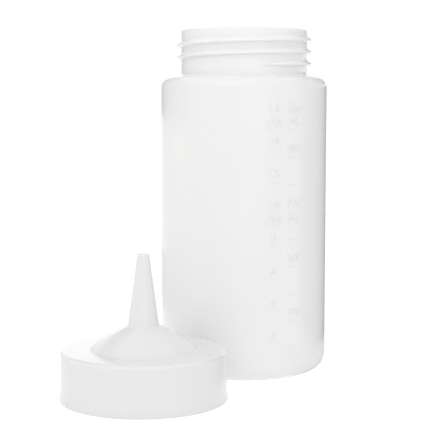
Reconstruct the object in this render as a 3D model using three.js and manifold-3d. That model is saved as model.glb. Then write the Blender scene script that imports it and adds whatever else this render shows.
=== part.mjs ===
// A wide-mouth squeeze bottle with a screw neck, and its nozzle cap taken off and standing beside it.
// Sizes are in millimetres, +Z is up and both pieces stand on the plane Z = 0.
// The origin is the middle of the footprint that the two pieces share.

import * as THREE from 'three';
import * as BufferGeometryUtils from 'three/addons/utils/BufferGeometryUtils.js';
import Module from 'manifold-3d';

const wasm = await Module();
wasm.setup();

// Body of the bottle, blown with an even wall
const BODY_DIAMETER = 75;
const BODY_WALL = 0.9;
const BOTTLE_HEIGHT = 154.1;
const SHOULDER_ROUND = 4.8;
const SHOULDER_SLOPE = 14.5; // degrees below level, from the neck outwards

// Base of the bottle: a flat standing ring round a shallow push-up
const BASE_WALL = 1.2;
const BASE_ROUND = 7.9;
const PUSH_UP_HEIGHT = 3.2;
const PUSH_UP_FLAT_DIAMETER = 40;
const PUSH_UP_DIAMETER = 52;
const PUSH_UP_TOP_ROUND = 3;
const PUSH_UP_FOOT_ROUND = 1;

// Neck of the bottle
const NECK_DIAMETER = 56.8;
const NECK_HEIGHT = 19.7;
const NECK_WALL = 1.6;
const NECK_ROOT_ROUND = 1;
const RIM_OUTER_ROUND = 0.7;
const RIM_INNER_ROUND = 0.4;

// Screw thread: a right-handed buttress ridge, steep on the flank that carries the pull
const THREAD_PITCH = 5.35;
const THREAD_DEPTH = 2.1;
const THREAD_CREST_WIDTH = 0.5;
const THREAD_STEEP_FLANK = 0.8;
const THREAD_SLOPED_FLANK = 2.1;
const THREAD_BELOW_RIM = 2.6;
const THREAD_ABOVE_NECK_ROOT = 3.5;
const THREAD_START_ANGLE = 112.5; // degrees from +X, towards the back
const THREAD_FADE_ANGLE = 36; // degrees over which each end rises out of the wall
const THREAD_FADE_START = 0.1; // share of the section's height at its buried ends
const THREAD_SINK = 0.5; // depth of the ridge's root inside its wall

// Measuring scale, raised from the wall: one column in millilitres, one in fluid ounces
const SCALE_ZERO_HEIGHT = 3.4;
const SCALE_TOP_CLEARANCE = 3; // least distance from the highest mark to the shoulder's round
const MARK_RAISE = 0.4;
const MARK_SINK = 0.4; // depth of a mark's root inside the wall
const MARK_THICKNESS = 0.7;
const CUBIC_MILLIMETRES_PER_MILLILITRE = 1000;
const CUBIC_MILLIMETRES_PER_OUNCE = 29574;
const MILLILITRE_COLUMN = { azimuth: 34, length: 4.2, stepVolume: 50 * CUBIC_MILLIMETRES_PER_MILLILITRE };
const OUNCE_COLUMN = { azimuth: 20.5, length: 3.6, stepVolume: 2 * CUBIC_MILLIMETRES_PER_OUNCE };

// Cap: threaded skirt, flat land, dome and nozzle, moulded in one
const CAP_THREAD_CLEARANCE = 0.5;
const CAP_SKIRT_WALL = 3.1;
const CAP_TOP_WALL = 1.8;
const CAP_SHOULDER_CLEARANCE = 0.7; // between the screwed-on skirt and the neck's root
const CAP_LIP_STEP = 0.5;
const CAP_LIP_HEIGHT = 2.5;
const CAP_LIP_BLEND_HEIGHT = 2.5;
const CAP_LIP_ROUND = 0.9;
const CAP_EDGE_ROUND = 1.6;
const CAP_LEAD_IN = 0.8;
const CAP_BORE_ROUND = 0.8;
const CAP_THREAD_ABOVE_LIP = 4;
const CAP_THREAD_BELOW_LAND = 7;
const CAP_THREAD_START_ANGLE = 0;
const CAP_THREAD_STEEP_FLANK = 0.7;
const CAP_THREAD_SLOPED_FLANK = 1.4;
const DOME_DIAMETER = 44.4;
const DOME_HEIGHT = 11; // of the whole dome, as if it ran on through the nozzle
const DOME_FULLNESS = 1.8; // 1 is a cone and 2 a parabola
const NOZZLE_FOOT_DIAMETER = 12.8;
const NOZZLE_FOOT_ROUND = 1.2;
const NOZZLE_TIP_DIAMETER = 4.8;
const NOZZLE_LENGTH = 29.6;
const NOZZLE_TIP_ROUND = 0.6;
const NOZZLE_WALL = 1.4;
const NOZZLE_HOLE_DIAMETER = 2.6;
const NOZZLE_HOLE_ROUND = 0.3;

// Where the cap stands, seen from the bottle's axis
const CAP_GAP = 5.7; // between the two outer walls at their closest
const CAP_DIRECTION = 31.6; // degrees from straight in front, towards -X

// Fineness of the curves
const TURN_SEGMENTS = 48;
const ARC_STEP = 26; // degrees for each chord of a rounded corner
const DOME_STEPS = 5;

const BODY_RADIUS = BODY_DIAMETER / 2;
const BODY_BORE_RADIUS = BODY_RADIUS - BODY_WALL;
const NECK_RADIUS = NECK_DIAMETER / 2;
const NECK_BORE_RADIUS = NECK_RADIUS - NECK_WALL;
const NECK_ROOT_HEIGHT = BOTTLE_HEIGHT - NECK_HEIGHT;
const THREAD_CREST_RADIUS = NECK_RADIUS + THREAD_DEPTH;
const THREAD_START_HEIGHT = BOTTLE_HEIGHT - THREAD_BELOW_RIM;
const THREAD_TURNS = ( NECK_HEIGHT - THREAD_BELOW_RIM - THREAD_ABOVE_NECK_ROOT ) / THREAD_PITCH;

const CAP_BORE_RADIUS = THREAD_CREST_RADIUS + CAP_THREAD_CLEARANCE;
const CAP_BORE_HEIGHT = NECK_HEIGHT - CAP_SHOULDER_CLEARANCE;
const CAP_THREAD_TURNS = ( CAP_BORE_HEIGHT - CAP_THREAD_ABOVE_LIP - CAP_THREAD_BELOW_LAND ) / THREAD_PITCH;
const CAP_SKIRT_RADIUS = CAP_BORE_RADIUS + CAP_SKIRT_WALL;
const CAP_LIP_RADIUS = CAP_SKIRT_RADIUS + CAP_LIP_STEP;
const CAP_LAND_HEIGHT = CAP_BORE_HEIGHT + CAP_TOP_WALL;
const DOME_RADIUS = DOME_DIAMETER / 2;
const NOZZLE_FOOT_RADIUS = NOZZLE_FOOT_DIAMETER / 2;
const NOZZLE_TIP_RADIUS = NOZZLE_TIP_DIAMETER / 2;

const radians = THREE.MathUtils.degToRad;
const FULL_TURN = 2 * Math.PI;

// One corner of an outline: the radius and height where it would be sharp, and how round it is.
function corner( radius, height, round = 0 ) {

	return { point: new THREE.Vector2( radius, height ), round };

}

// The arc that rounds off one corner between its two neighbours.
function cornerArc( previous, { point, round }, next ) {

	const back = previous.point.clone().sub( point ).normalize();
	const ahead = next.point.clone().sub( point ).normalize();
	const turn = Math.PI - back.angleTo( ahead );
	const middle = back.clone().add( ahead ).normalize();
	const centre = point.clone().addScaledVector( middle, round / Math.cos( turn / 2 ) );
	const start = point.clone().addScaledVector( back, round * Math.tan( turn / 2 ) );
	const signedTurn = - Math.sign( back.cross( ahead ) ) * turn;
	const chords = Math.ceil( turn / radians( ARC_STEP ) );
	const arc = [];
	for ( let i = 0; i <= chords; i ++ ) {

		arc.push( start.clone().rotateAround( centre, signedTurn * i / chords ) );

	}

	return arc;

}

// The points of an outline, from its corners in order.
function outlineOf( corners ) {

	const count = corners.length;
	return corners.flatMap( ( here, i ) => {

		if ( here.round === 0 ) return [ here.point ];
		return cornerArc( corners[ ( i + count - 1 ) % count ], here, corners[ ( i + 1 ) % count ] );

	} );

}

// A solid from a closed geometry: shared vertices merged, and the flat faces at a pole left out.
function solidOf( geometry ) {

	geometry.deleteAttribute( 'normal' );
	geometry.deleteAttribute( 'uv' );
	const merged = BufferGeometryUtils.mergeVertices( geometry );
	const index = merged.index.array;
	const triangles = [];
	for ( let i = 0; i < index.length; i += 3 ) {

		const [ a, b, c ] = index.subarray( i, i + 3 );
		if ( a !== b && b !== c && c !== a ) triangles.push( a, b, c );

	}

	const vertProperties = new Float32Array( merged.attributes.position.array );
	const triVerts = new Uint32Array( triangles );
	return new wasm.Manifold( new wasm.Mesh( { numProp: 3, vertProperties, triVerts } ) );

}

// The solid that an outline of radius and height sweeps round the Z axis.
function revolve( outline ) {

	const geometry = new THREE.LatheGeometry( outline, TURN_SEGMENTS );
	geometry.rotateX( Math.PI / 2 );
	return solidOf( geometry );

}

// A helical ridge on a round wall, standing outwards (side 1) or inwards (side -1).
// A straight bar is extruded, then bent down or up the helix with both ends faded into the wall.
// Its steps keep pace with the wall's own facets.
function helicalRidge( { side, radius, upperFlank, lowerFlank, startAngle, startHeight, turns } ) {

	const crest = THREAD_CREST_WIDTH / 2;
	const section = new THREE.Shape( [
		new THREE.Vector2( - THREAD_SINK, - crest - lowerFlank ),
		new THREE.Vector2( THREAD_DEPTH, - crest ),
		new THREE.Vector2( THREAD_DEPTH, crest ),
		new THREE.Vector2( - THREAD_SINK, crest + upperFlank ),
	] );
	const steps = Math.round( turns * TURN_SEGMENTS );
	const sweep = steps / TURN_SEGMENTS;
	const ridge = new THREE.ExtrudeGeometry( section, { depth: 1, steps, bevelEnabled: false } );
	const fadeShare = radians( THREAD_FADE_ANGLE ) / ( FULL_TURN * sweep );
	const place = ridge.attributes.position;
	for ( let i = 0; i < place.count; i ++ ) {

		const along = place.getZ( i );
		const toEnd = Math.min( along, 1 - along ) / fadeShare;
		const rise = THREE.MathUtils.lerp( THREAD_FADE_START, 1, THREE.MathUtils.smoothstep( toEnd, 0, 1 ) );
		const reach = radius + side * ( ( place.getX( i ) + THREAD_SINK ) * rise - THREAD_SINK );
		const angle = radians( startAngle ) - side * along * sweep * FULL_TURN;
		const height = startHeight - side * along * sweep * THREAD_PITCH + place.getY( i ) * rise;
		place.setXYZ( i, reach * Math.cos( angle ), reach * Math.sin( angle ), height );

	}

	return solidOf( ridge );

}

// Height of the bottle's shoulder slope at a radius, lowered by a wall measured square to it.
function shoulderHeight( radius, wall ) {

	const slope = radians( SHOULDER_SLOPE );
	return NECK_ROOT_HEIGHT - ( radius - NECK_RADIUS ) * Math.tan( slope ) - wall / Math.cos( slope );

}

function bottleShell() {

	const pushUpFlat = PUSH_UP_FLAT_DIAMETER / 2;
	const pushUpFoot = PUSH_UP_DIAMETER / 2;
	const pushUpInside = PUSH_UP_HEIGHT + BASE_WALL;
	return revolve( outlineOf( [
		corner( 0, PUSH_UP_HEIGHT ),
		corner( pushUpFlat, PUSH_UP_HEIGHT, PUSH_UP_TOP_ROUND ),
		corner( pushUpFoot, 0, PUSH_UP_FOOT_ROUND ),
		corner( BODY_RADIUS, 0, BASE_ROUND ),
		corner( BODY_RADIUS, shoulderHeight( BODY_RADIUS, 0 ), SHOULDER_ROUND ),
		corner( NECK_RADIUS, NECK_ROOT_HEIGHT, NECK_ROOT_ROUND ),
		corner( NECK_RADIUS, BOTTLE_HEIGHT, RIM_OUTER_ROUND ),
		corner( NECK_BORE_RADIUS, BOTTLE_HEIGHT, RIM_INNER_ROUND ),
		corner( NECK_BORE_RADIUS, shoulderHeight( NECK_BORE_RADIUS, BODY_WALL ), NECK_ROOT_ROUND ),
		corner( BODY_BORE_RADIUS, shoulderHeight( BODY_BORE_RADIUS, BODY_WALL ), SHOULDER_ROUND - BODY_WALL ),
		corner( BODY_BORE_RADIUS, BASE_WALL, BASE_ROUND - BODY_WALL ),
		corner( pushUpFoot, BASE_WALL, PUSH_UP_FOOT_ROUND ),
		corner( pushUpFlat, pushUpInside, PUSH_UP_TOP_ROUND ),
		corner( 0, pushUpInside ),
	] ) );

}

function neckThread() {

	return helicalRidge( {
		side: 1,
		radius: NECK_RADIUS,
		upperFlank: THREAD_SLOPED_FLANK,
		lowerFlank: THREAD_STEEP_FLANK,
		startAngle: THREAD_START_ANGLE,
		startHeight: THREAD_START_HEIGHT,
		turns: THREAD_TURNS,
	} );

}

// Height of the top of the straight wall, where the shoulder's round begins.
function straightWallTop() {

	const turn = radians( 90 - SHOULDER_SLOPE );
	return shoulderHeight( BODY_RADIUS, 0 ) - SHOULDER_ROUND * Math.tan( turn / 2 );

}

// The raised bars of one column of the scale, the lowest first.
// They stand where each further step of liquid fills the round body to, as far up as the wall is straight.
function scaleMarks( { azimuth, length, stepVolume } ) {

	const stepHeight = stepVolume / ( Math.PI * BODY_BORE_RADIUS ** 2 );
	const room = straightWallTop() - SCALE_TOP_CLEARANCE - SCALE_ZERO_HEIGHT;
	return Array.from( { length: Math.floor( room / stepHeight ) }, ( _, i ) => {

		const bar = new THREE.BoxGeometry( length, MARK_RAISE + MARK_SINK, MARK_THICKNESS );
		const middle = BODY_RADIUS + ( MARK_RAISE - MARK_SINK ) / 2;
		bar.translate( 0, - middle, SCALE_ZERO_HEIGHT + ( i + 1 ) * stepHeight );
		bar.rotateZ( radians( azimuth ) );
		return solidOf( bar );

	} );

}

function bottleSolid() {

	const marks = [ ...scaleMarks( MILLILITRE_COLUMN ), ...scaleMarks( OUNCE_COLUMN ) ];
	return marks.reduce( ( whole, mark ) => whole.add( mark ), bottleShell().add( neckThread() ) );

}

// Height of the dome above its foot at a radius.
function domeRise( radius ) {

	return DOME_HEIGHT * ( 1 - ( radius / DOME_RADIUS ) ** DOME_FULLNESS );

}

// Points along the dome from one radius to another, the first left out.
function domePoints( fromRadius, toRadius, footHeight ) {

	return Array.from( { length: DOME_STEPS }, ( _, i ) => {

		const radius = THREE.MathUtils.lerp( fromRadius, toRadius, ( i + 1 ) / DOME_STEPS );
		return corner( radius, footHeight + domeRise( radius ) );

	} );

}

function capShell() {

	const nozzleFoot = CAP_LAND_HEIGHT + domeRise( NOZZLE_FOOT_RADIUS );
	const tipHeight = nozzleFoot + NOZZLE_LENGTH;
	const nozzleBoreFoot = NOZZLE_FOOT_RADIUS - NOZZLE_WALL;
	const outerDome = domePoints( DOME_RADIUS, NOZZLE_FOOT_RADIUS, CAP_LAND_HEIGHT );
	outerDome.at( - 1 ).round = NOZZLE_FOOT_ROUND;
	const loop = outlineOf( [
		corner( CAP_LIP_RADIUS, 0, CAP_LIP_ROUND ),
		corner( CAP_LIP_RADIUS, CAP_LIP_HEIGHT ),
		corner( CAP_SKIRT_RADIUS, CAP_LIP_HEIGHT + CAP_LIP_BLEND_HEIGHT ),
		corner( CAP_SKIRT_RADIUS, CAP_LAND_HEIGHT, CAP_EDGE_ROUND ),
		corner( DOME_RADIUS, CAP_LAND_HEIGHT ),
		...outerDome,
		corner( NOZZLE_TIP_RADIUS, tipHeight, NOZZLE_TIP_ROUND ),
		corner( NOZZLE_HOLE_DIAMETER / 2, tipHeight, NOZZLE_HOLE_ROUND ),
		corner( nozzleBoreFoot, CAP_BORE_HEIGHT + domeRise( nozzleBoreFoot ) ),
		...domePoints( nozzleBoreFoot, DOME_RADIUS, CAP_BORE_HEIGHT ),
		corner( CAP_BORE_RADIUS, CAP_BORE_HEIGHT, CAP_BORE_ROUND ),
		corner( CAP_BORE_RADIUS, CAP_LEAD_IN ),
		corner( CAP_BORE_RADIUS + CAP_LEAD_IN, 0 ),
	] );
	return revolve( [ ...loop, loop[ 0 ] ] );

}

// The cap's ridge runs in the groove between the neck's ridges, with its steep flank under theirs.
function capThread() {

	return helicalRidge( {
		side: - 1,
		radius: CAP_BORE_RADIUS,
		upperFlank: CAP_THREAD_STEEP_FLANK,
		lowerFlank: CAP_THREAD_SLOPED_FLANK,
		startAngle: CAP_THREAD_START_ANGLE,
		startHeight: CAP_THREAD_ABOVE_LIP,
		turns: CAP_THREAD_TURNS,
	} );

}

function capSolid() {

	return capShell().add( capThread() );

}

// A named mesh of one moulded piece.
function piece( name, solid, material ) {

	const { vertProperties, triVerts } = solid.getMesh();
	const geometry = new THREE.BufferGeometry();
	geometry.setAttribute( 'position', new THREE.BufferAttribute( vertProperties, 3 ) );
	geometry.setIndex( new THREE.BufferAttribute( triVerts, 1 ) );
	geometry.computeVertexNormals();
	const mesh = new THREE.Mesh( geometry, material );
	mesh.name = name;
	return mesh;

}

// Stands the two pieces side by side with the middle of their shared footprint at the origin.
function standOnFootprint( bottle, cap ) {

	const direction = radians( CAP_DIRECTION );
	const distance = BODY_RADIUS + CAP_GAP + CAP_LIP_RADIUS;
	const offset = new THREE.Vector3( - Math.sin( direction ), - Math.cos( direction ) ).multiplyScalar( distance );
	const footprint = new THREE.Box3();
	for ( const [ centre, radius ] of [ [ new THREE.Vector3(), BODY_RADIUS ], [ offset, CAP_LIP_RADIUS ] ] ) {

		footprint.expandByPoint( centre.clone().addScalar( - radius ) );
		footprint.expandByPoint( centre.clone().addScalar( radius ) );

	}

	const middle = footprint.getCenter( new THREE.Vector3() ).setZ( 0 );
	bottle.position.copy( middle ).negate();
	cap.position.copy( offset ).sub( middle );

}

const bottleMaterial = new THREE.MeshStandardMaterial( { color: 0xeef0f2, roughness: 0.42, metalness: 0 } );
const capMaterial = new THREE.MeshStandardMaterial( { color: 0xe8eaea, roughness: 0.38, metalness: 0 } );

const bottle = piece( 'bottle', bottleSolid(), bottleMaterial );
const cap = piece( 'cap', capSolid(), capMaterial );
standOnFootprint( bottle, cap );

const squeezeBottle = new THREE.Group();
squeezeBottle.add( bottle, cap );

export default squeezeBottle;
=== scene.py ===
"""Looks for the squeeze bottle and the nozzle cap that stands beside it, in metres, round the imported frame.

The sizes repeat those of the solids in the frame. Azimuths run from the front (-Y) towards +X.
"""

import math

import bmesh
import bpy
from mathutils import Matrix, Vector


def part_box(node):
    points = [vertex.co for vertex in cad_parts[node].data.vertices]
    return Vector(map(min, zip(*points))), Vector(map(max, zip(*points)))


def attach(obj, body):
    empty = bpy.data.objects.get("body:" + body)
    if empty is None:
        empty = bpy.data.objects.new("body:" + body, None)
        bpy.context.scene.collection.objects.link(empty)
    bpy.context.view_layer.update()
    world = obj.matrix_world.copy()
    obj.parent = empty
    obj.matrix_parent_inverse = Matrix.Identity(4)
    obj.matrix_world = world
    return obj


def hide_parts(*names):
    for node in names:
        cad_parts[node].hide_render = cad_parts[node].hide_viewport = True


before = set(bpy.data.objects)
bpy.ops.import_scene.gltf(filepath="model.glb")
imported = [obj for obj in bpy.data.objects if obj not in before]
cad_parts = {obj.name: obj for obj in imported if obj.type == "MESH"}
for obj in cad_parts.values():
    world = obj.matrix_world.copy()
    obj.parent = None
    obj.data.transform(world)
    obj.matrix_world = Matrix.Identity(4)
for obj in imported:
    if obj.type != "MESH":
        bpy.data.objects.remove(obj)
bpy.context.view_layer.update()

MM = 0.001

# The two pieces as the frame holds them
bottle_low, bottle_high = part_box("bottle")
cap_low, cap_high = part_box("cap")
BOTTLE_AXIS = Vector(((bottle_low.x + bottle_high.x) / 2, (bottle_low.y + bottle_high.y) / 2, 0))
CAP_AXIS = Vector(((cap_low.x + cap_high.x) / 2, (cap_low.y + cap_high.y) / 2, 0))
BODY_RADIUS = (bottle_high.x - bottle_low.x) / 2
BOTTLE_HEIGHT = bottle_high.z
CAP_LIP_RADIUS = (cap_high.x - cap_low.x) / 2
CAP_HEIGHT = cap_high.z

# Walls and rounded corners of the bottle
BODY_WALL = 0.9 * MM
BASE_WALL = 1.2 * MM
BASE_ROUND = 7.9 * MM
PUSH_UP_HEIGHT = 3.2 * MM
PUSH_UP_FLAT_RADIUS = 20 * MM
PUSH_UP_RADIUS = 26 * MM
PUSH_UP_TOP_ROUND = 3 * MM
PUSH_UP_FOOT_ROUND = 1 * MM
SHOULDER_ROUND = 4.8 * MM
SHOULDER_SLOPE = math.radians(14.5)

# Neck and its screw thread
NECK_HEIGHT = 19.7 * MM
NECK_RADIUS = 28.4 * MM
NECK_WALL = 1.6 * MM
NECK_ROOT_ROUND = 1 * MM
RIM_OUTER_ROUND = 0.7 * MM
RIM_INNER_ROUND = 0.4 * MM
THREAD_PITCH = 5.35 * MM
THREAD_DEPTH = 2.1 * MM
THREAD_CREST_WIDTH = 0.5 * MM
THREAD_STEEP_FLANK = 0.8 * MM
THREAD_SLOPED_FLANK = 2.1 * MM
THREAD_BELOW_RIM = 2.6 * MM
THREAD_ABOVE_NECK_ROOT = 3.5 * MM
THREAD_START = math.radians(112.5)
THREAD_FADE = math.radians(36)
THREAD_FADE_START = 0.1
THREAD_CREST_ROUND = 0.14
THREAD_CREST_FLAT = 0.4
THREAD_SINK = 0.5 * MM

# Measuring scale raised from the wall: a column in millilitres and one in ounces
SCALE_ZERO_HEIGHT = 3.4 * MM
MILLILITRE = 1e-6
MILLILITRES_PER_OUNCE = 29.574
MARK_RAISE = 0.4 * MM
MARK_THICKNESS = 0.7 * MM
MARK_SLOPE = 0.5
LABEL_SIZE = 5.2 * MM
LABEL_LIFT = 3.6 * MM
LABEL_FINENESS = 4
MILLILITRE_STEP = 50
MILLILITRE_MARKS = 10
MILLILITRE_LABEL_EVERY = 2
MILLILITRE_AZIMUTH = math.radians(34)
MILLILITRE_LABEL_AZIMUTH = MILLILITRE_AZIMUTH + math.radians(1.8)
MILLILITRE_TICK_LENGTH = 4.2 * MM
MILLILITRE_TOP_UNIT_DROP = 8.5 * MM
MILLILITRE_MIDDLE_UNIT_AT = 300
OUNCE_STEP = 2
OUNCE_MARKS = 8
OUNCE_AZIMUTH = math.radians(20.5)
OUNCE_LABEL_AZIMUTH = OUNCE_AZIMUTH - math.radians(0.3)
OUNCE_TICK_LENGTH = 3.6 * MM
OUNCE_TICK_RAISE = 0.24 * MM
OUNCE_LABEL_WIDENING = 1.15
OUNCE_UNIT_DROP = 3.1 * MM
OUNCE_UNITS_AT = (16, 10)

# Cap
CAP_THREAD_CLEARANCE = 0.5 * MM
CAP_SKIRT_WALL = 3.1 * MM
CAP_TOP_WALL = 1.8 * MM
CAP_SHOULDER_CLEARANCE = 0.7 * MM
CAP_LIP_HEIGHT = 2.5 * MM
CAP_LIP_BLEND_HEIGHT = 2.5 * MM
CAP_LIP_ROUND = 0.9 * MM
CAP_EDGE_ROUND = 1.6 * MM
CAP_LEAD_IN = 0.8 * MM
CAP_BORE_ROUND = 0.8 * MM
CAP_THREAD_ABOVE_LIP = 4 * MM
CAP_THREAD_BELOW_LAND = 7 * MM
CAP_THREAD_STEEP_FLANK = 0.7 * MM
CAP_THREAD_SLOPED_FLANK = 1.4 * MM
DOME_RADIUS = 22.2 * MM
DOME_HEIGHT = 11 * MM
DOME_FULLNESS = 1.8
NOZZLE_FOOT_RADIUS = 6.4 * MM
NOZZLE_FOOT_ROUND = 1.2 * MM
DOME_FOOT_ROUND = 1.2 * MM
NOZZLE_TIP_RADIUS = 2.4 * MM
NOZZLE_TIP_ROUND = 0.6 * MM
NOZZLE_WALL = 1.4 * MM
NOZZLE_HOLE_RADIUS = 1.3 * MM
NOZZLE_HOLE_ROUND = 0.3 * MM

# Fineness
TURN_SEGMENTS = 192
ARC_STEP = math.radians(7)
DOME_STEPS = 20
MERGE_DISTANCE = 0.001 * MM
SMOOTH_ANGLE = math.radians(35)
DARK_MAT_STEPS = 24

# Polyethylene: faint clouds, a fine uneven skin, and light that scatters in the wall
CLOUD_SCALE = 45
CLOUD_DETAIL = 3
CLOUD_HEIGHT_SHARE = 0.35
CLOUD_FROM, CLOUD_TO = 0.3, 0.7
CLOUD_DIP = 0.985
SHEEN_SPREAD = 0.04
SKIN_SCALE = 900
SKIN_DETAIL = 2
SKIN_STRENGTH = 0.08
SKIN_DEPTH = 0.05 * MM
PLASTIC_IOR = 1.5
SCATTER = 0.3
SCATTER_DEPTH = 1.5 * MM
BOTTLE_COLOUR = (0.9, 0.9, 0.9)
BOTTLE_ROUGHNESS = 0.2
CAP_COLOUR = (0.825, 0.825, 0.825)
CAP_ROUGHNESS = 0.17
# Painted shade at the cap's foot: its colour darker there, and a little yellower
CAP_FOOT_SHADE_AND_TINT = (0.965, 0.965, 0.945)
FOOT_SHADE_FROM, FOOT_SHADE_TO = 0.8, 1.3
FOOT_SHADE_FADE = 1 * MM

# Floor, for the light that falls on it and for how it is seen
FLOOR_HALF_WIDTH = 6
FLOOR_DROP = 0.02 * MM
FLOOR_TONE_FALLING, FLOOR_TONE_SEEN = 0.15, 0.45
FLOOR_GLOW_FALLING, FLOOR_GLOW_SEEN = 0.75, 0.7

# World and lamps
WORLD_STRENGTH = 0.83
WORLD_TINT = (0.99, 0.993, 1)
LAMP_TARGET = Vector((0, 0, 70 * MM))
KEY_TINT = (1, 0.985, 0.97)
FILL_TINT = (0.97, 0.985, 1)
WARM_TINT = (1, 0.72, 0.48)

# Flags that gloss mirrors: the cards' ends in the plan, from the bottle's axis, in millimetres
CARD_RIGHT = (54, 75), (122, -35)
CARD_RIGHT_NECK = (82, 209), (218, -59)
CARD_LEFT = (-218, -59), (-82, 209)
MAT_HEIGHT = 0.1

# Camera fitted to the photograph, in pixels of its square frame
PHOTO_WIDTH = 430
FOCAL_LENGTH = 1251.6
SENSOR_WIDTH = 36
EYE = BOTTLE_AXIS + Vector((0, -572.3, 121.8)) * MM
YAW = math.radians(-1.31)
PITCH = math.radians(5.146)
ROLL = math.radians(0.073)
CLIP_START = 0.01

FULL_TURN = 2 * math.pi
BODY_BORE_RADIUS = BODY_RADIUS - BODY_WALL
NECK_ROOT = BOTTLE_HEIGHT - NECK_HEIGHT
NECK_BORE_RADIUS = NECK_RADIUS - NECK_WALL
CAP_BORE_RADIUS = NECK_RADIUS + THREAD_DEPTH + CAP_THREAD_CLEARANCE
CAP_SKIRT_RADIUS = CAP_BORE_RADIUS + CAP_SKIRT_WALL
CAP_BORE_HEIGHT = NECK_HEIGHT - CAP_SHOULDER_CLEARANCE
CAP_LAND_HEIGHT = CAP_BORE_HEIGHT + CAP_TOP_WALL


def corner(radius, height, rounding=0.0):
    """One corner of an outline: where it would be sharp, and how round it is."""
    return Vector((radius, height)), rounding


def corner_arc(previous, point, rounding, following):
    """The arc that rounds off one corner between its two neighbours."""
    back = (previous - point).normalized()
    ahead = (following - point).normalized()
    turn = math.pi - back.angle(ahead)
    centre = point + (back + ahead).normalized() * rounding / math.cos(turn / 2)
    start = point + back * rounding * math.tan(turn / 2) - centre
    sign = -math.copysign(1, back.x * ahead.y - back.y * ahead.x)
    chords = math.ceil(turn / ARC_STEP)
    return [centre + Matrix.Rotation(sign * turn * i / chords, 2) @ start for i in range(chords + 1)]


def outline_of(corners):
    """The points of an outline, from its corners in order."""
    points = []
    count = len(corners)
    for i, (point, rounding) in enumerate(corners):
        if rounding:
            points += corner_arc(corners[i - 1][0], point, rounding, corners[(i + 1) % count][0])
        else:
            points.append(point)
    return points


def merge_close(mesh):
    """Merges a mesh's points that all but coincide."""
    edited = bmesh.new()
    edited.from_mesh(mesh)
    bmesh.ops.remove_doubles(edited, verts=edited.verts, dist=MERGE_DISTANCE)
    edited.to_mesh(mesh)
    edited.free()


def mesh_object(name, vertices, faces):
    mesh = bpy.data.meshes.new(name)
    mesh.from_pydata(vertices, [], faces)
    mesh.validate()
    piece = bpy.data.objects.new(name, mesh)
    bpy.context.scene.collection.objects.link(piece)
    return piece


def revolve(name, outline, axis):
    """The solid that an outline sweeps round a vertical axis, with a fan where it starts or ends on it."""
    on_axis = outline[0].x == 0
    ring_points = outline[1:-1] if on_axis else outline
    vertices = []
    for point in ring_points:
        for k in range(TURN_SEGMENTS):
            angle = FULL_TURN * k / TURN_SEGMENTS
            vertices.append(axis + Vector((point.x * math.cos(angle), point.x * math.sin(angle), point.y)))
    count = len(ring_points)
    faces = []
    for row in range(count - 1 if on_axis else count):
        here, there = row * TURN_SEGMENTS, (row + 1) % count * TURN_SEGMENTS
        for k in range(TURN_SEGMENTS):
            ahead = (k + 1) % TURN_SEGMENTS
            faces.append((here + k, here + ahead, there + ahead, there + k))
    if on_axis:
        first, last = len(vertices), len(vertices) + 1
        vertices += [axis + Vector((0, 0, outline[0].y)), axis + Vector((0, 0, outline[-1].y))]
        top = (count - 1) * TURN_SEGMENTS
        for k in range(TURN_SEGMENTS):
            ahead = (k + 1) % TURN_SEGMENTS
            faces.append((first, ahead, k))
            faces.append((last, top + k, top + ahead))
    return mesh_object(name, vertices, faces)


def smooth_step(value):
    value = min(max(value, 0), 1)
    return value * value * (3 - 2 * value)


def helical_ridge(name, axis, side, radius, depth, upper, lower, start, start_height, turns):
    """A ridge on a round wall, standing outwards (side 1) or inwards (side -1), faded in at both ends."""
    crest = THREAD_CREST_WIDTH / 2
    flank_top = depth * (1 - THREAD_CREST_ROUND)
    section = [
        (-THREAD_SINK, -crest - lower),
        (flank_top, -crest - lower * THREAD_CREST_ROUND),
        (depth, -crest * THREAD_CREST_FLAT),
        (depth, crest * THREAD_CREST_FLAT),
        (flank_top, crest + upper * THREAD_CREST_ROUND),
        (-THREAD_SINK, crest + upper),
    ]
    steps = round(turns * TURN_SEGMENTS)
    sweep = steps / TURN_SEGMENTS
    fade_share = THREAD_FADE / (FULL_TURN * sweep)
    vertices = []
    for i in range(steps + 1):
        along = i / steps
        rise = THREAD_FADE_START + (1 - THREAD_FADE_START) * smooth_step(min(along, 1 - along) / fade_share)
        angle = start - side * along * sweep * FULL_TURN
        for out, up in section:
            reach = radius + side * ((out + THREAD_SINK) * rise - THREAD_SINK)
            height = start_height - side * along * sweep * THREAD_PITCH + up * rise
            vertices.append(axis + Vector((reach * math.cos(angle), reach * math.sin(angle), height)))
    width = len(section)
    faces = [tuple(range(width))[::-1], tuple(steps * width + j for j in range(width))]
    for i in range(steps):
        for j in range(width):
            beside = (j + 1) % width
            faces.append((i * width + j, i * width + beside, (i + 1) * width + beside, (i + 1) * width + j))
    return mesh_object(name, vertices, faces)


def shoulder_height(radius, wall):
    """Height of the shoulder's slope at a radius, lowered by a wall measured square to it."""
    drop = (radius - NECK_RADIUS) * math.tan(SHOULDER_SLOPE)
    return NECK_ROOT - drop - wall / math.cos(SHOULDER_SLOPE)


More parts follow.
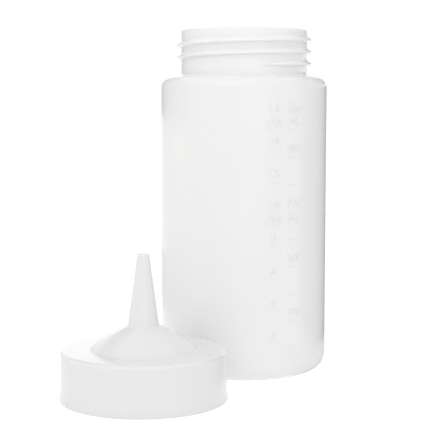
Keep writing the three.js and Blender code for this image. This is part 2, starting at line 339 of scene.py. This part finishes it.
def bottle_shell():
    inside = PUSH_UP_HEIGHT + BASE_WALL
    return revolve("squeeze_bottle", outline_of([
        corner(0, PUSH_UP_HEIGHT),
        corner(PUSH_UP_FLAT_RADIUS, PUSH_UP_HEIGHT, PUSH_UP_TOP_ROUND),
        corner(PUSH_UP_RADIUS, 0, PUSH_UP_FOOT_ROUND),
        corner(BODY_RADIUS, 0, BASE_ROUND),
        corner(BODY_RADIUS, shoulder_height(BODY_RADIUS, 0), SHOULDER_ROUND),
        corner(NECK_RADIUS, NECK_ROOT, NECK_ROOT_ROUND),
        corner(NECK_RADIUS, BOTTLE_HEIGHT, RIM_OUTER_ROUND),
        corner(NECK_BORE_RADIUS, BOTTLE_HEIGHT, RIM_INNER_ROUND),
        corner(NECK_BORE_RADIUS, shoulder_height(NECK_BORE_RADIUS, BODY_WALL), NECK_ROOT_ROUND),
        corner(BODY_BORE_RADIUS, shoulder_height(BODY_BORE_RADIUS, BODY_WALL), SHOULDER_ROUND - BODY_WALL),
        corner(BODY_BORE_RADIUS, BASE_WALL, BASE_ROUND - BODY_WALL),
        corner(PUSH_UP_RADIUS, BASE_WALL, PUSH_UP_FOOT_ROUND),
        corner(PUSH_UP_FLAT_RADIUS, inside, PUSH_UP_TOP_ROUND),
        corner(0, inside),
    ]), BOTTLE_AXIS)


def neck_thread():
    return helical_ridge(
        "neck_thread", BOTTLE_AXIS, 1, NECK_RADIUS, THREAD_DEPTH, THREAD_SLOPED_FLANK, THREAD_STEEP_FLANK,
        THREAD_START, BOTTLE_HEIGHT - THREAD_BELOW_RIM,
        (NECK_HEIGHT - THREAD_BELOW_RIM - THREAD_ABOVE_NECK_ROOT) / THREAD_PITCH)


def dome_rise(radius):
    return DOME_HEIGHT * (1 - (radius / DOME_RADIUS) ** DOME_FULLNESS)


def dome_points(from_radius, to_radius, foot_height):
    """Corners along the dome from one radius to another, the first left out."""
    points = []
    for i in range(1, DOME_STEPS + 1):
        radius = from_radius + (to_radius - from_radius) * i / DOME_STEPS
        points.append(corner(radius, foot_height + dome_rise(radius)))
    return points


def cap_shell():
    bore_foot = NOZZLE_FOOT_RADIUS - NOZZLE_WALL
    outer_dome = dome_points(DOME_RADIUS, NOZZLE_FOOT_RADIUS, CAP_LAND_HEIGHT)
    nozzle_foot = corner(*outer_dome.pop()[0], NOZZLE_FOOT_ROUND)
    return revolve("nozzle_cap", outline_of([
        corner(CAP_LIP_RADIUS, 0, CAP_LIP_ROUND),
        corner(CAP_LIP_RADIUS, CAP_LIP_HEIGHT),
        corner(CAP_SKIRT_RADIUS, CAP_LIP_HEIGHT + CAP_LIP_BLEND_HEIGHT),
        corner(CAP_SKIRT_RADIUS, CAP_LAND_HEIGHT, CAP_EDGE_ROUND),
        corner(DOME_RADIUS, CAP_LAND_HEIGHT, DOME_FOOT_ROUND),
        *outer_dome[1:-1],
        nozzle_foot,
        corner(NOZZLE_TIP_RADIUS, CAP_HEIGHT, NOZZLE_TIP_ROUND),
        corner(NOZZLE_HOLE_RADIUS, CAP_HEIGHT, NOZZLE_HOLE_ROUND),
        corner(bore_foot, CAP_BORE_HEIGHT + dome_rise(bore_foot)),
        *dome_points(bore_foot, DOME_RADIUS, CAP_BORE_HEIGHT),
        corner(CAP_BORE_RADIUS, CAP_BORE_HEIGHT, CAP_BORE_ROUND),
        corner(CAP_BORE_RADIUS, CAP_LEAD_IN),
        corner(CAP_BORE_RADIUS + CAP_LEAD_IN, 0),
    ]), CAP_AXIS)


def cap_thread():
    return helical_ridge(
        "cap_thread", CAP_AXIS, -1, CAP_BORE_RADIUS, THREAD_DEPTH, CAP_THREAD_STEEP_FLANK,
        CAP_THREAD_SLOPED_FLANK, 0, CAP_THREAD_ABOVE_LIP,
        (CAP_BORE_HEIGHT - CAP_THREAD_ABOVE_LIP - CAP_THREAD_BELOW_LAND) / THREAD_PITCH)


def fill_height(millilitres):
    """The height that an amount reaches in the round body."""
    return SCALE_ZERO_HEIGHT + millilitres * MILLILITRE / (math.pi * BODY_BORE_RADIUS ** 2)


def bend_on_wall(piece, azimuth, height):
    """Wraps a flat relief, drawn in X and Y with Z standing proud, round the bottle's wall."""
    for vertex in piece.data.vertices:
        x, y, z = vertex.co
        angle = azimuth + x / BODY_RADIUS
        reach = BODY_RADIUS + z
        vertex.co = BOTTLE_AXIS + Vector((reach * math.sin(angle), -reach * math.cos(angle), height + y))


def scale_tick(name, azimuth, height, length, lift):
    outline = [(-length / 2, -MARK_THICKNESS / 2), (length / 2, -MARK_THICKNESS / 2),
               (length / 2, MARK_THICKNESS / 2), (-length / 2, MARK_THICKNESS / 2)]
    slope = lift * MARK_SLOPE
    vertices = [(x, y, -MARK_RAISE) for x, y in outline]
    vertices += [(x - math.copysign(slope, x), y - math.copysign(slope, y), lift) for x, y in outline]
    faces = [(3, 2, 1, 0), (4, 5, 6, 7)] + [(i, (i + 1) % 4, (i + 1) % 4 + 4, i + 4) for i in range(4)]
    tick = mesh_object(name, vertices, faces)
    bend_on_wall(tick, azimuth, height)
    return tick


def scale_label(name, text, azimuth, height, widening=1.0):
    curve = bpy.data.curves.new(name, "FONT")
    curve.body = text
    curve.size = LABEL_SIZE
    curve.align_x = "CENTER"
    curve.align_y = "CENTER"
    curve.extrude = MARK_RAISE
    curve.resolution_u = LABEL_FINENESS
    lettering = bpy.data.objects.new(name + "_curve", curve)
    bpy.context.scene.collection.objects.link(lettering)
    bpy.context.view_layer.update()
    evaluated = lettering.evaluated_get(bpy.context.evaluated_depsgraph_get())
    mesh = bpy.data.meshes.new_from_object(evaluated)
    bpy.data.objects.remove(lettering)
    merge_close(mesh)
    mesh.transform(Matrix.Diagonal((widening, 1, 1, 1)))
    label = bpy.data.objects.new(name, mesh)
    bpy.context.scene.collection.objects.link(label)
    bend_on_wall(label, azimuth, height)
    return label


def millilitre_marks():
    marks = []
    for i in range(1, MILLILITRE_MARKS + 1):
        amount = MILLILITRE_STEP * i
        height = fill_height(amount)
        marks.append(scale_tick(
            f"tick_ml_{i}", MILLILITRE_AZIMUTH, height, MILLILITRE_TICK_LENGTH, MARK_RAISE))
        if i % MILLILITRE_LABEL_EVERY == 0:
            place = height - LABEL_LIFT if i == MILLILITRE_MARKS else height + LABEL_LIFT
            marks.append(scale_label(f"label_ml_{i}", str(amount), MILLILITRE_LABEL_AZIMUTH, place))
    top = fill_height(MILLILITRE_STEP * MILLILITRE_MARKS) - MILLILITRE_TOP_UNIT_DROP
    marks.append(scale_label("unit_ml_top", "ML", MILLILITRE_LABEL_AZIMUTH, top))
    middle = fill_height(MILLILITRE_MIDDLE_UNIT_AT) - LABEL_LIFT
    marks.append(scale_label("unit_ml_middle", "ML", MILLILITRE_LABEL_AZIMUTH, middle))
    return marks


def ounce_marks():
    marks = []
    for i in range(1, OUNCE_MARKS + 1):
        amount = OUNCE_STEP * i
        height = fill_height(amount * MILLILITRES_PER_OUNCE)
        marks.append(scale_tick(f"tick_oz_{i}", OUNCE_AZIMUTH, height, OUNCE_TICK_LENGTH, OUNCE_TICK_RAISE))
        marks.append(scale_label(
            f"label_oz_{i}", str(amount), OUNCE_LABEL_AZIMUTH, height + LABEL_LIFT, OUNCE_LABEL_WIDENING))
    for amount in OUNCE_UNITS_AT:
        height = fill_height(amount * MILLILITRES_PER_OUNCE) - OUNCE_UNIT_DROP
        marks.append(scale_label(f"unit_oz_{amount}", "OZ", OUNCE_LABEL_AZIMUTH, height))
    return marks


def joined(pieces):
    """One object from several, named after the first."""
    bpy.ops.object.select_all(action="DESELECT")
    for piece in pieces:
        piece.select_set(True)
    bpy.context.view_layer.objects.active = pieces[0]
    bpy.ops.object.join()
    return pieces[0]


def united(whole, addition):
    """Adds a closed piece to another with a boolean union, and removes it."""
    union = whole.modifiers.new("union", "BOOLEAN")
    union.operation = "UNION"
    union.solver = "MANIFOLD"
    union.object = addition
    bpy.ops.object.select_all(action="DESELECT")
    whole.select_set(True)
    bpy.context.view_layer.objects.active = whole
    bpy.ops.object.modifier_apply(modifier=union.name)
    bpy.data.objects.remove(addition)
    merge_close(whole.data)
    return whole


def smooth(piece):
    bpy.ops.object.select_all(action="DESELECT")
    piece.select_set(True)
    bpy.context.view_layer.objects.active = piece
    bpy.ops.object.shade_smooth_by_angle(angle=SMOOTH_ANGLE)


def noise(nodes, links, vector, scale, detail):
    texture = nodes.new("ShaderNodeTexNoise")
    texture.inputs["Scale"].default_value = scale
    texture.inputs["Detail"].default_value = detail
    links.new(vector, texture.inputs["Vector"])
    return texture.outputs["Fac"]


def mapped(nodes, links, value, **limits):
    """A value mapped from one range to another. A limit that isn't given is 0 or 1."""
    span = nodes.new("ShaderNodeMapRange")
    for name, limit in limits.items():
        span.inputs[name.replace("_", " ").title()].default_value = limit
    links.new(value, span.inputs["Value"])
    return span.outputs["Result"]


def colour_mix(nodes, links, factor, first, second):
    """A colour between two, of which each is a colour or a socket."""
    mix = nodes.new("ShaderNodeMix")
    mix.data_type = "RGBA"
    links.new(factor, mix.inputs["Factor"])
    for name, colour in (("A", first), ("B", second)):
        if isinstance(colour, bpy.types.NodeSocket):
            links.new(colour, mix.inputs[name])
        else:
            mix.inputs[name].default_value = (*colour, 1)
    return mix.outputs["Result"]


def toned(colour, tone):
    return [c * t for c, t in zip(colour, tone)]


def node_material(name):
    material = bpy.data.materials.new(name)
    material.use_nodes = True
    nodes, links = material.node_tree.nodes, material.node_tree.links
    return material, nodes, links, nodes["Principled BSDF"]


def plastic(name, colour, roughness, foot_shade_and_tint=(1, 1, 1), foot_height=0.0):
    """Natural polyethylene: milky, satin, with a faint cloudiness, an uneven skin, and painted shade that
    makes the foot darker and a little yellower.
    """
    material, nodes, links, shader = node_material(name)
    place = nodes.new("ShaderNodeTexCoord").outputs["Object"]
    stretch = nodes.new("ShaderNodeMapping")
    stretch.inputs["Scale"].default_value = (1, 1, CLOUD_HEIGHT_SHARE)
    links.new(place, stretch.inputs["Vector"])
    cloud = noise(nodes, links, stretch.outputs["Vector"], CLOUD_SCALE, CLOUD_DETAIL)
    thickness = mapped(nodes, links, cloud, from_min=CLOUD_FROM, from_max=CLOUD_TO)
    cloudy = colour_mix(nodes, links, thickness, toned(colour, [CLOUD_DIP] * 3), colour)
    # Painted shade: the colour darker and a little yellower below the foot height, fading out above it
    height = nodes.new("ShaderNodeSeparateXYZ")
    links.new(place, height.inputs["Vector"])
    above = mapped(nodes, links, height.outputs["Z"], from_min=foot_height * FOOT_SHADE_FROM,
                   from_max=foot_height * FOOT_SHADE_TO + FOOT_SHADE_FADE)
    links.new(colour_mix(nodes, links, above, toned(colour, foot_shade_and_tint), cloudy), shader.inputs["Base Color"])
    sheen = mapped(nodes, links, cloud, to_min=roughness - SHEEN_SPREAD, to_max=roughness + SHEEN_SPREAD)
    links.new(sheen, shader.inputs["Roughness"])
    bump = nodes.new("ShaderNodeBump")
    bump.inputs["Strength"].default_value = SKIN_STRENGTH
    bump.inputs["Distance"].default_value = SKIN_DEPTH
    links.new(noise(nodes, links, place, SKIN_SCALE, SKIN_DETAIL), bump.inputs["Height"])
    links.new(bump.outputs["Normal"], shader.inputs["Normal"])
    shader.inputs["IOR"].default_value = PLASTIC_IOR
    shader.inputs["Subsurface Weight"].default_value = SCATTER
    shader.inputs["Subsurface Radius"].default_value = (1, 1, 1)
    shader.inputs["Subsurface Scale"].default_value = SCATTER_DEPTH
    return material


def seen_or_mirrored(nodes, links):
    """A value of 1 for rays from the camera, or by way of gloss or glass, and 0 for the light that falls."""
    path = nodes.new("ShaderNodeLightPath")
    total = nodes.new("ShaderNodeMath")
    total.operation = "ADD"
    links.new(path.outputs["Is Camera Ray"], total.inputs[0])
    links.new(path.outputs["Is Glossy Ray"], total.inputs[1])
    whole = nodes.new("ShaderNodeMath")
    whole.operation = "ADD"
    whole.use_clamp = True
    links.new(total.outputs[0], whole.inputs[0])
    links.new(path.outputs["Is Transmission Ray"], whole.inputs[1])
    return whole.outputs[0]


def white_world():
    """A world that is seen white, and that lights the object a little less than that."""
    world = bpy.data.worlds.new("studio")
    world.use_nodes = True
    nodes, links = world.node_tree.nodes, world.node_tree.links
    light = [WORLD_STRENGTH * c for c in WORLD_TINT]
    colour = colour_mix(nodes, links, seen_or_mirrored(nodes, links), light, (1, 1, 1))
    links.new(colour, nodes["Background"].inputs["Color"])
    bpy.context.scene.world = world


def floor():
    """A plain pale floor that shows white where nothing shades it."""
    size = FLOOR_HALF_WIDTH
    corners = [(-size, -size, 0), (size, -size, 0), (size, size, 0), (-size, size, 0)]
    piece = mesh_object("floor", corners, [(0, 1, 2, 3)])
    piece.location.z = -FLOOR_DROP
    material, nodes, links, shader = node_material("floor_white")
    shader.inputs["Roughness"].default_value = 1
    shader.inputs["Specular IOR Level"].default_value = 0
    shader.inputs["Emission Color"].default_value = (1, 1, 1, 1)
    seen = seen_or_mirrored(nodes, links)
    tone = colour_mix(nodes, links, seen, [FLOOR_TONE_FALLING] * 3, [FLOOR_TONE_SEEN] * 3)
    links.new(tone, shader.inputs["Base Color"])
    glow = mapped(nodes, links, seen, to_min=FLOOR_GLOW_FALLING, to_max=FLOOR_GLOW_SEEN)
    links.new(glow, shader.inputs["Emission Strength"])
    piece.data.materials.append(material)


def softbox(name, place, width, power, colour=(1, 1, 1)):
    """A square lamp that is turned towards the object."""
    light = bpy.data.lights.new(name, "AREA")
    light.shape = "SQUARE"
    light.size = width
    light.energy = power
    light.color = colour
    lamp = bpy.data.objects.new(name, light)
    bpy.context.scene.collection.objects.link(lamp)
    lamp.location = place
    lamp.rotation_euler = (LAMP_TARGET - Vector(place)).to_track_quat("-Z", "Y").to_euler()


def dark_flag(name, points, faces, colour):
    """A flag just outside the view that only gloss mirrors, which gives the pale plastic its edge."""
    piece = mesh_object(name, [BOTTLE_AXIS + Vector(point) * MM for point in points], faces)
    piece.visible_camera = False
    piece.visible_diffuse = False
    piece.visible_shadow = False
    material, _, _, shader = node_material(name)
    shader.inputs["Base Color"].default_value = (*colour, 1)
    shader.inputs["Roughness"].default_value = 1
    piece.data.materials.append(material)


def dark_card(name, ends, foot, top, colour):
    """An upright flag between two points of the plan, in millimetres."""
    start, end = ends
    points = [(*start, foot), (*end, foot), (*end, top), (*start, top)]
    dark_flag(name, points, [(0, 1, 2, 3)], colour)


def dark_mat(name, inner, outer, first, last, colour):
    """A flat flag round the bottle's foot, between two radii and two angles, in millimetres and degrees."""
    points = []
    for i in range(DARK_MAT_STEPS + 1):
        angle = math.radians(first + (last - first) * i / DARK_MAT_STEPS)
        for reach in (inner, outer):
            points.append((reach * math.cos(angle), reach * math.sin(angle), MAT_HEIGHT))
    faces = [(2 * i, 2 * i + 1, 2 * i + 3, 2 * i + 2) for i in range(DARK_MAT_STEPS)]
    dark_flag(name, points, faces, colour)


def studio():
    white_world()
    floor()
    softbox("key", place=(-0.5, -1.4, 1.2), width=1.2, power=3.8, colour=KEY_TINT)
    softbox("fill", place=(0.5, -1.6, 0.4), width=1.2, power=2.0, colour=FILL_TINT)
    softbox("top", place=(0.2, -0.7, 1.6), width=0.8, power=1.4)
    softbox("warm_side", place=(-1.4, 0.2, 0.4), width=0.8, power=1.0, colour=WARM_TINT)
    softbox("rim", place=(-0.35, 1.5, 0.35), width=0.5, power=0.28)
    dark_card("card_right", CARD_RIGHT, foot=0, top=134, colour=(0.02, 0.05, 0.08))
    dark_card("card_right_neck", CARD_RIGHT_NECK, foot=153, top=303, colour=(0.2, 0.22, 0.26))
    dark_card("card_left", CARD_LEFT, foot=0, top=34, colour=(0.85, 0.85, 0.85))
    dark_card("card_left_neck", CARD_LEFT, foot=115, top=265, colour=(0.4, 0.38, 0.4))
    dark_mat("mat_right", inner=33, outer=90, first=-50, last=60, colour=(0.68, 0.7, 0.72))


def camera():
    """The photograph's view: a 105 mm lens on a square frame, a little above the middle of the bottle."""
    ahead = Vector((math.sin(YAW) * math.cos(PITCH), math.cos(YAW) * math.cos(PITCH), -math.sin(PITCH)))
    level = Vector((math.cos(YAW), -math.sin(YAW), 0))
    right = level * math.cos(ROLL) + level.cross(ahead) * math.sin(ROLL)
    up = right.cross(ahead)
    data = bpy.data.cameras.new("camera")
    data.sensor_width = SENSOR_WIDTH
    data.lens = FOCAL_LENGTH / PHOTO_WIDTH * SENSOR_WIDTH
    data.clip_start = CLIP_START
    viewer = bpy.data.objects.new("camera", data)
    bpy.context.scene.collection.objects.link(viewer)
    viewer.matrix_world = Matrix.Translation(EYE) @ Matrix((right, up, -ahead)).transposed().to_4x4()
    bpy.context.scene.camera = viewer


def dress(piece, node, material):
    piece.data.materials.clear()
    piece.data.materials.append(material)
    for face in piece.data.polygons:
        face.material_index = 0
    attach(piece, "root")
    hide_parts(node)


camera()
studio()

bottle = united(bottle_shell(), neck_thread())
bottle = united(bottle, joined(millilitre_marks() + ounce_marks()))
smooth(bottle)
dress(bottle, "bottle", plastic("bottle_plastic", BOTTLE_COLOUR, BOTTLE_ROUGHNESS))

cap = united(cap_shell(), cap_thread())
smooth(cap)
# The cap's plastic, with painted shade at its lip
cap_plastic = plastic("cap_plastic", CAP_COLOUR, CAP_ROUGHNESS, CAP_FOOT_SHADE_AND_TINT, CAP_LIP_HEIGHT)
dress(cap, "cap", cap_plastic)

bpy.context.scene.view_settings.view_transform = "Standard"
